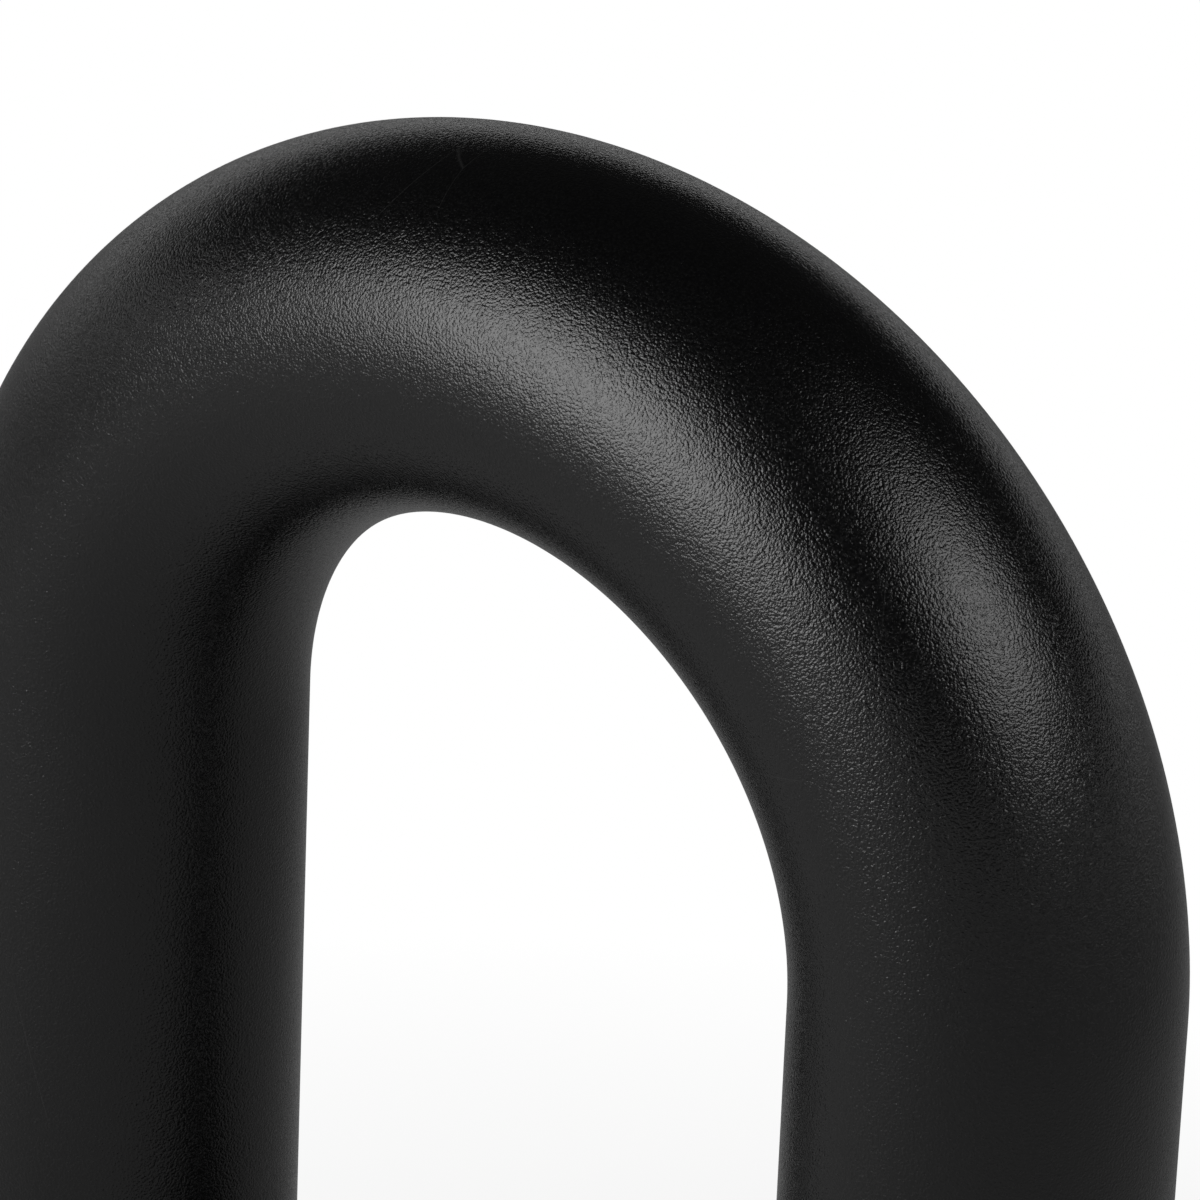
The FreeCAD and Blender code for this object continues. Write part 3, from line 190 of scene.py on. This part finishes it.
def make_powder_coat():
    """Satin black powder coat: fine grain, faint smudges, a few hairline scratches."""
    coat = Finish("satin_black_powder_coat", (0.0012, 0.0012, 0.0013), 0.22)
    coat.shader.inputs["Specular IOR Level"].default_value = 0.42
    grain = coat.noise(GRAINS_PER_METRE, 1.5)
    orange_peel = coat.noise(260, 1.0)
    smudges = coat.noise(30, 3.0, stretch=(1, 1, 0.6))
    scratches = coat.calculate(
        "MAXIMUM",
        hairlines(coat, 34, (15, 30, 20), 0.0022, 0.62),
        hairlines(coat, 43, (70, -25, 50), 0.0020, 0.63),
    )
    pits = coat.ramp(coat.cells(420), 0.05, 0.13, 1.0, 0.0)
    pits = coat.calculate("MULTIPLY", pits, coat.ramp(coat.noise(60, 1.0), 0.60, 0.66))
    tone = coat.blend(coat.ramp(grain, 0.35, 0.65), (0.0007, 0.0007, 0.0008), (0.0017, 0.0017, 0.0018))
    tone = coat.blend(scratches, tone, (0.009, 0.009, 0.009))
    coat.colour(tone)
    smudged = coat.ramp(smudges, 0.35, 0.7, 0.205, 0.245)
    shine = coat.calculate("ADD", smudged, coat.ramp(grain, 0.3, 0.7, -0.07, 0.07))
    coat.rough(coat.calculate("ADD", shine, coat.ramp(scratches, 0, 1, 0, 0.08)))
    coat.relief(orange_peel, 0.00004, 0.35)
    coat.relief(grain, GRAIN_DEPTH, 1.0)
    coat.relief(coat.calculate("ADD", scratches, pits), 0.00002, -0.8)
    return coat.material


def make_brushed_metal(name, colour, roughness, along=(1, 40, 40), spots=0.0):
    """Drawn or milled metal: fine lines one way, clouded shine and faint stains."""
    metal = Finish(name, colour, roughness, 1.0)
    lines = metal.noise(70, 3.0, stretch=along)
    clouds = metal.noise(45, 3.0)
    dark = tuple(part * 0.72 for part in colour)
    tone = metal.blend(metal.ramp(clouds, 0.35, 0.75), colour, dark)
    if spots:
        pores = metal.ramp(metal.cells(1800), 0.08, 0.3, 1.0, 0.0)
        hollow = tuple(part * 0.35 for part in colour)
        tone = metal.blend(metal.calculate("MULTIPLY", pores, spots), tone, hollow)
        metal.relief(pores, 0.00001, -0.6)
    metal.colour(tone)
    shine = metal.ramp(lines, 0.3, 0.7, roughness - 0.06, roughness + 0.08)
    metal.rough(metal.calculate("ADD", shine, metal.ramp(clouds, 0.4, 0.8, 0, 0.09)))
    metal.relief(lines, 0.000006, 0.8)
    return metal.material


def make_turned_metal(name, colour, roughness, centre):
    """Metal turned on a lathe about standing lines, with fine tool marks and a few nicks."""
    metal = Finish(name, colour, roughness, 1.0)
    radius, height = metal.turned_place(centre)
    travel = metal.calculate("ADD", radius, height)
    marks = metal.calculate("SINE", metal.calculate("MULTIPLY", travel, math.tau / TOOL_PITCH))
    wander = metal.noise(240, 2.0)
    nicks = metal.ramp(metal.cells(210), 0.03, 0.07, 1.0, 0.0)
    tone = metal.blend(metal.ramp(wander, 0.35, 0.7), colour, tuple(part * 0.78 for part in colour))
    nicked = tuple(part * 0.4 for part in colour)
    metal.colour(metal.blend(metal.calculate("MULTIPLY", nicks, 0.5), tone, nicked))
    metal.rough(metal.ramp(wander, 0.3, 0.75, roughness - 0.04, roughness + 0.10))
    metal.relief(marks, 0.000004, 0.7)
    metal.relief(nicks, 0.00002, -0.5)
    return metal.material


def make_face_metal(name, colour, roughness):
    """Satin metal round the keyway, turned about the keyway's own line."""
    metal = Finish(name, colour, roughness, 1.0)
    parts = metal.nodes.new("ShaderNodeSeparateXYZ")
    metal.put(metal.mapped(shift=(0, 0, -LOCK_HEIGHT)), parts, 0)
    squares = [metal.calculate("MULTIPLY", parts.outputs[axis], parts.outputs[axis]) for axis in ("X", "Z")]
    radius = metal.calculate("SQRT", metal.calculate("ADD", *squares))
    marks = metal.calculate("SINE", metal.calculate("MULTIPLY", radius, math.tau / FACE_PITCH))
    rub = metal.noise(420, 2.0)
    tone = metal.blend(metal.ramp(rub, 0.45, 0.75), colour, tuple(part * 0.84 for part in colour))
    metal.colour(tone)
    metal.rough(metal.ramp(rub, 0.3, 0.75, roughness - 0.03, roughness + 0.06))
    metal.relief(marks, 0.000004, 0.6)
    metal.relief(rub, 0.000002, 0.3)
    return metal.material


def make_rubber():
    """Moulded black rubber with a dry bloom."""
    rubber = Finish("moulded_rubber", (0.012, 0.012, 0.012), 0.72)
    bloom = rubber.noise(55, 4.0)
    grain = rubber.noise(1700, 2.0)
    rubber.colour(rubber.blend(rubber.ramp(bloom, 0.4, 0.75), (0.010, 0.010, 0.010), (0.026, 0.025, 0.024)))
    rubber.rough(rubber.ramp(bloom, 0.3, 0.7, 0.62, 0.82))
    rubber.relief(grain, 0.00004, 0.5)
    return rubber.material


def make_resin():
    """Hard filled resin, speckled with its mineral filler."""
    resin = Finish("filled_resin", (0.045, 0.047, 0.05), 0.55)
    specks = resin.ramp(resin.cells(1300), 0.1, 0.32, 1.0, 0.0)
    filler = resin.calculate("MULTIPLY", specks, 0.6)
    resin.colour(resin.blend(filler, (0.045, 0.047, 0.05), (0.16, 0.16, 0.15)))
    resin.rough(resin.ramp(resin.noise(120, 3.0), 0.3, 0.7, 0.48, 0.66))
    resin.relief(specks, 0.00002, 0.5)
    return resin.material


def make_key_plastic():
    """Black moulded plastic with a spark-eroded grain, rubbed smoother where thumbs go."""
    plastic = Finish("grained_black_plastic", (0.014, 0.014, 0.015), 0.46)
    grain = plastic.noise(2300, 2.0)
    handling = plastic.noise(90, 2.0)
    rubbed = plastic.ramp(handling, 0.4, 0.7)
    plastic.colour(plastic.blend(rubbed, (0.013, 0.013, 0.014), (0.021, 0.021, 0.022)))
    plastic.rough(plastic.ramp(handling, 0.35, 0.7, 0.36, 0.52))
    plastic.relief(grain, 0.00004, 0.7)
    return plastic.material


FINISHES = {
    "black_coat": make_powder_coat(),
    "core_steel": make_brushed_metal("hardened_core_steel", (0.33, 0.32, 0.31), 0.38, (40, 40, 1), 0.3),
    "core_fill": make_resin(),
    "foot_steel": make_turned_metal("turned_foot_steel", (0.52, 0.52, 0.53), 0.27, LEG),
    "armour_steel": make_brushed_metal("rolled_armour_steel", (0.38, 0.39, 0.41), 0.36),
    "socket_steel": make_turned_metal("satin_socket_steel", (0.47, 0.48, 0.50), 0.30, LEG),
    "carrier_alloy": make_brushed_metal("cast_carrier_alloy", (0.58, 0.59, 0.61), 0.46, (1, 1, 1), 0.4),
    "seal_rubber": make_rubber(),
    "fastener_steel": make_brushed_metal("plated_fastener_steel", (0.60, 0.59, 0.56), 0.28, (30, 30, 1)),
    "escutcheon_steel": make_face_metal("satin_escutcheon_steel", (0.50, 0.51, 0.53), 0.28),
    "cylinder_brass": make_brushed_metal("drawn_cylinder_brass", (0.70, 0.50, 0.23), 0.30, (40, 1, 40)),
    "face_steel": make_face_metal("hardened_face_steel", (0.42, 0.43, 0.45), 0.24),
    "disc_brass": make_brushed_metal("stamped_disc_brass", (0.72, 0.53, 0.26), 0.26, (1, 30, 1)),
    "spacer_steel": make_brushed_metal("thin_spacer_steel", (0.62, 0.62, 0.62), 0.24, (1, 30, 1)),
    "bush_bronze": make_brushed_metal("sintered_bush_bronze", (0.55, 0.33, 0.17), 0.42, (1, 1, 1), 0.7),
    "gear_steel": make_brushed_metal("cut_gear_steel", (0.40, 0.40, 0.42), 0.30, (30, 1, 30)),
    "bolt_steel": make_brushed_metal("ground_bolt_steel", (0.56, 0.56, 0.57), 0.20, (1, 45, 45)),
    "key_steel": make_brushed_metal("nickelled_key_steel", (0.66, 0.64, 0.60), 0.20, (45, 1, 45)),
    "key_plastic": make_key_plastic(),
}
SLOT_OF = {part["node"]: part["material_slot"] for part in frame["record"]["subparts"]}

for node, part in frame["nodes"].items():
    for slot in part.material_slots:
        slot.material = FINISHES[SLOT_OF[node]]


# ---------------------------------------------------------------- new pieces

def finished(name, shape, body, slot, replaced=(), sharp=32):
    """Turns a bmesh into a smooth-shaded piece of its body. Edges that turn over sharp degrees stay crisp."""
    bmesh.ops.remove_doubles(shape, verts=shape.verts, dist=1e-6)
    bmesh.ops.recalc_face_normals(shape, faces=shape.faces)
    for face in shape.faces:
        face.smooth = True
    for edge in shape.edges:
        edge.smooth = len(edge.link_faces) == 2 and edge.calc_face_angle() < math.radians(sharp)
    mesh = bpy.data.meshes.new(name)
    shape.to_mesh(mesh)
    shape.free()
    mesh.materials.append(FINISHES[slot])
    piece = bpy.data.objects.new(name, mesh)
    bpy.context.scene.collection.objects.link(piece)
    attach(piece, body)
    if replaced:
        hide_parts(*replaced)


def turned(profile, centre, axis="Z"):
    """A bmesh of (radius, height) pairs spun round a line through centre, closed where it meets that line."""
    shape = bmesh.new()
    points = [shape.verts.new((radius, 0, height)) for radius, height in profile]
    pairs = list(zip(points, points[1:]))
    if profile[0][0] > 0:
        pairs.append((points[-1], points[0]))
    edges = [shape.edges.new(pair) for pair in pairs]
    bmesh.ops.spin(
        shape, geom=points + edges, cent=(0, 0, 0), axis=(0, 0, 1), angle=math.tau,
        steps=ROUND_SIDES, use_merge=True
    )
    if axis == "-Y":
        forward = Matrix.Rotation(math.radians(90), 3, "X")
        bmesh.ops.rotate(shape, verts=shape.verts, cent=(0, 0, 0), matrix=forward)
    bmesh.ops.translate(shape, verts=shape.verts, vec=centre)
    return shape


def bent_skin(shape, radius, foot, steps=160):
    """One skin of the U: a circle drawn up a leg, spun over the bend and down the other leg."""
    ring = bmesh.ops.create_circle(
        shape, segments=ROUND_SIDES, radius=radius, cap_ends=False, matrix=Matrix.Translation((LEG, 0, foot))
    )["verts"]
    first = list({edge for vert in ring for edge in vert.link_edges})
    drawn = bmesh.ops.extrude_edge_only(shape, edges=first)["geom"]
    top = [part for part in drawn if isinstance(part, bmesh.types.BMVert)]
    bmesh.ops.translate(shape, verts=top, vec=(0, 0, BEND - foot))
    top_edges = [edge for edge in {edge for vert in top for edge in vert.link_edges}
                 if all(vert in top for vert in edge.verts)]
    spun = bmesh.ops.spin(
        shape, geom=top + top_edges, cent=(0, 0, BEND), axis=(0, -1, 0), angle=math.pi,
        steps=steps, use_merge=False
    )["geom_last"]
    last_edges = [part for part in spun if isinstance(part, bmesh.types.BMEdge)]
    drawn = bmesh.ops.extrude_edge_only(shape, edges=last_edges)["geom"]
    foot_verts = [part for part in drawn if isinstance(part, bmesh.types.BMVert)]
    bmesh.ops.translate(shape, verts=foot_verts, vec=(0, 0, foot - BEND))
    return first, [edge for edge in {edge for vert in foot_verts for edge in vert.link_edges}
                   if all(vert in foot_verts for vert in edge.verts)]


def make_shackle_coat():
    """The coated U: outer skin, bevelled ends and inner skin."""
    shape = bmesh.new()
    outer = bent_skin(shape, BAR, LEG_FOOT)
    inner = bent_skin(shape, BAR - WALL, LEG_FOOT, steps=48)
    for outer_loop, inner_loop in zip(outer, inner):
        bmesh.ops.bridge_loops(shape, edges=outer_loop + inner_loop)
    rims = [edge for loop in outer for edge in loop if edge.is_valid]
    bmesh.ops.bevel(
        shape, geom=rims, offset=RIM_BEVEL, offset_type="OFFSET", segments=3, profile=0.5,
        affect="EDGES", material=-1
    )
    finished("shackle_coat", shape, "shackle", "black_coat", ["shackle_shell"], sharp=40)


make_shackle_coat()


def make_seal_ring(side):
    """The rubber ring between leg and flange, with two moulded lips on its edge."""
    low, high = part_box(f"socket_gasket_{side}")
    outer = (high.y - low.y) / 2
    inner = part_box(f"foot_{side}")[1].y + SEAL_ROOM
    tall = high.z - low.z
    profile = [
        (inner, low.z), (inner, high.z - 0.0003), (inner + 0.0003, high.z), (outer - 0.0005, high.z),
        (outer - 0.0001, high.z - 0.0003), (outer, high.z - 0.2 * tall), (outer - 0.0004, high.z - 0.35 * tall),
        (outer, high.z - 0.5 * tall), (outer, low.z + 0.0003), (outer - 0.0003, low.z),
    ]
    centre = ((low.x + high.x) / 2, 0, 0)
    ring = turned(profile, centre)
    finished(f"lipped_seal_{side}", ring, "crossbar", "seal_rubber", [f"socket_gasket_{side}"], sharp=50)


def make_keyway_guard():
    """The hard ring round the keyway: rounded rim, shallow dish and a turned groove."""
    low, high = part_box("escutcheon")
    outer = (high.x - low.x) / 2
    hole = (LOCK[1].x - LOCK[0].x) / 2 + 0.0001
    front, back = -low.y, -high.y
    profile = [
        (hole, back), (hole, front - 0.0012), (hole + 0.0003, front - 0.0010), (outer - 0.0085, front - 0.0008),
        (outer - 0.0070, front), (outer - 0.0046, front), (outer - 0.0044, front - 0.0003),
        (outer - 0.0038, front - 0.0003), (outer - 0.0036, front), (outer - 0.0012, front),
        (outer - 0.0004, front - 0.0004), (outer, front - 0.0012), (outer, back),
    ]
    shape = turned(profile, (0, 0, LOCK_HEIGHT), axis="-Y")
    finished("dished_keyway_guard", shape, "crossbar", "escutcheon_steel", ["escutcheon"], sharp=25)


def make_key_ribs():
    """Low moulded ribs on both faces of the key's head, for a thumb and finger."""
    low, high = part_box("key_head")
    for name, level in (("upper", high.z), ("lower", low.z)):
        shape = bmesh.new()
        for step in range(RIBS):
            bar = bmesh.ops.create_cube(shape, size=1)["verts"]
            wide = 0.015 - 0.0012 * abs(step - 2)
            bmesh.ops.scale(shape, verts=bar, vec=(wide, 0.0009, 0.0010))
            bmesh.ops.translate(shape, verts=bar, vec=(0, high.y - 0.0035 - RIB_PITCH * step, level))
        bmesh.ops.bevel(
            shape, geom=shape.edges[:], offset=0.00035, offset_type="OFFSET", segments=3, profile=0.5,
            affect="EDGES", material=-1
        )
        finished(f"{name}_key_ribs", shape, "key", "key_plastic", sharp=60)


for side in ("left", "right"):
    make_seal_ring(side)
make_keyway_guard()
make_key_ribs()


# ---------------------------------------------------------------- floor, light and camera

SHADOW_FADES = (0.20, 0.38)     # metres from the lock over which the floor turns plain white to the eye
MIRROR_FADES = (2.5, 6.0)       # and over which it does so in a reflection
FLOOR_LIFT = 0.62               # what the eye sees near the lock on top of the paper's own shade
LAMP_AIM = Vector((0, 0, 0.24))
LAMP_DISTANCE = 1.3
HORIZON = (0.02, 0.12)          # upward slopes over which the white horizon gives way to the room
ROOM_IN_GLOSS = 0.03
ROOM_LIGHT = 0.12
CAMERA_PLACE = (36.64, 25.73)   # azimuth and elevation in degrees
CAMERA_DISTANCE = 44.5 * BAR
CAMERA_AIM = Vector((0.320 * BAR, 0, BEND + 1.466 * BAR))
CAMERA_ROLL = 2.34
CAMERA_LENS = 263.7


def make_floor():
    """A plain pale floor: it keeps the object's soft shadow near it and is plain white farther off."""
    shape = bmesh.new()
    bmesh.ops.create_circle(shape, cap_ends=True, segments=128, radius=30)
    mesh = bpy.data.meshes.new("floor")
    shape.to_mesh(mesh)
    shape.free()
    floor = bpy.data.objects.new("floor", mesh)
    bpy.context.scene.collection.objects.link(floor)
    floor.location.z = CAD_BOX[0].z - 0.0002
    paper = Finish("floor_paper", (0.45, 0.45, 0.45), 0.95)
    paper.shader.inputs["Specular IOR Level"].default_value = 0.0
    parts = paper.nodes.new("ShaderNodeSeparateXYZ")
    paper.put(paper.place, parts, 0)
    squares = [paper.calculate("MULTIPLY", parts.outputs[axis], parts.outputs[axis]) for axis in ("X", "Y")]
    reach = paper.calculate("SQRT", paper.calculate("ADD", *squares))
    rays = paper.nodes.new("ShaderNodeLightPath")
    eye = paper.calculate("MAXIMUM", rays.outputs["Is Camera Ray"], rays.outputs["Is Transmission Ray"])
    mirrored = paper.calculate("MULTIPLY", rays.outputs["Is Glossy Ray"], paper.ramp(reach, *MIRROR_FADES))
    direct = paper.calculate("MULTIPLY", eye, paper.ramp(reach, *SHADOW_FADES))
    seen = paper.calculate("MAXIMUM", direct, mirrored)
    lift = paper.nodes.new("ShaderNodeEmission")
    paper.put(paper.calculate("MULTIPLY", eye, FLOOR_LIFT), lift, "Strength")
    near = paper.nodes.new("ShaderNodeAddShader")
    paper.links.new(paper.shader.outputs[0], near.inputs[0])
    paper.links.new(lift.outputs[0], near.inputs[1])
    far = paper.nodes.new("ShaderNodeEmission")
    mix = paper.nodes.new("ShaderNodeMixShader")
    paper.put(seen, mix, 0)
    paper.links.new(near.outputs[0], mix.inputs[1])
    paper.links.new(far.outputs[0], mix.inputs[2])
    paper.links.new(mix.outputs[0], paper.nodes["Material Output"].inputs["Surface"])
    mesh.materials.append(paper.material)


def direction(azimuth, elevation):
    """A unit vector from the object. Azimuth 0 points to the front, 90 to the right."""
    turn, tilt = math.radians(azimuth), math.radians(elevation)
    return Vector((math.sin(turn) * math.cos(tilt), -math.cos(turn) * math.cos(tilt), math.sin(tilt)))


def make_softbox(name, azimuth, elevation, roll, size, level):
    """A rectangular softbox turned to the lock. Level is what it adds to a white surface that faces it."""
    lamp = bpy.data.lights.new(name, "AREA")
    lamp.shape = "RECTANGLE"
    lamp.size, lamp.size_y = size
    lamp.energy = math.pi**2 * LAMP_DISTANCE**2 * level
    softbox = bpy.data.objects.new(name, lamp)
    bpy.context.scene.collection.objects.link(softbox)
    away = direction(azimuth, elevation)
    softbox.location = LAMP_AIM + away * LAMP_DISTANCE
    turn = away.to_track_quat("Z", "Y")
    softbox.rotation_euler = (turn.to_matrix() @ Matrix.Rotation(math.radians(roll), 3, "Z")).to_euler()
    softbox.visible_camera = False


def make_world():
    """White where the eye, metal or glass sees the horizon, and a dim even room above it."""
    world = bpy.data.worlds.new("studio")
    world.use_nodes = True
    bpy.context.scene.world = world
    nodes, links = world.node_tree.nodes, world.node_tree.links
    sky = nodes["Background"]

    def node(kind, **values):
        made = nodes.new(kind)
        for key, value in values.items():
            setattr(made, key, value)
        return made

    def calculate(operation, first, second):
        made = node("ShaderNodeMath", operation=operation)
        for place, value in enumerate((first, second)):
            if isinstance(value, bpy.types.NodeSocket):
                links.new(value, made.inputs[place])
            else:
                made.inputs[place].default_value = value
        return made.outputs[0]

    parts = node("ShaderNodeSeparateXYZ")
    links.new(node("ShaderNodeTexCoord").outputs["Generated"], parts.inputs[0])
    band = node("ShaderNodeMapRange")
    links.new(parts.outputs["Z"], band.inputs["Value"])
    for socket, value in zip(("From Min", "From Max", "To Min", "To Max"), (*HORIZON, 1.0, ROOM_IN_GLOSS)):
        band.inputs[socket].default_value = value
    rays = node("ShaderNodeLightPath")
    plain = calculate("MAXIMUM", rays.outputs["Is Camera Ray"], rays.outputs["Is Transmission Ray"])
    glossy = calculate("MULTIPLY", rays.outputs["Is Glossy Ray"], band.outputs["Result"])
    diffuse = calculate("MULTIPLY", rays.outputs["Is Diffuse Ray"], ROOM_LIGHT)
    links.new(calculate("MAXIMUM", calculate("MAXIMUM", plain, glossy), diffuse), sky.inputs["Strength"])
    sky.inputs["Color"].default_value = (1, 1, 1, 1)


def make_camera():
    """Looks down on the bend from its right-hand front, close and with a long lens."""
    lens = bpy.data.cameras.new("camera")
    lens.lens = CAMERA_LENS
    lens.sensor_width = 36
    lens.clip_start, lens.clip_end = 0.05, 100
    camera = bpy.data.objects.new("camera", lens)
    bpy.context.scene.collection.objects.link(camera)
    away = direction(*CAMERA_PLACE)
    side = Vector((0, 0, 1)).cross(away).normalized()
    up = away.cross(side)
    roll = math.radians(CAMERA_ROLL)
    across = side * math.cos(roll) + up * math.sin(roll)
    rise = away.cross(across)
    turn = Matrix((across, rise, away)).transposed()
    camera.matrix_world = Matrix.Translation(CAMERA_AIM + away * CAMERA_DISTANCE) @ turn.to_4x4()
    bpy.context.scene.camera = camera


make_floor()
make_softbox("main_softbox", -21.4, 21.4, 33.7, (0.90, 0.92), 1.02)
make_softbox("side_softbox", 93.4, 37.8, 5.9, (0.84, 0.60), 0.42)
make_world()
make_camera()
bpy.context.scene.view_settings.view_transform = "Standard"
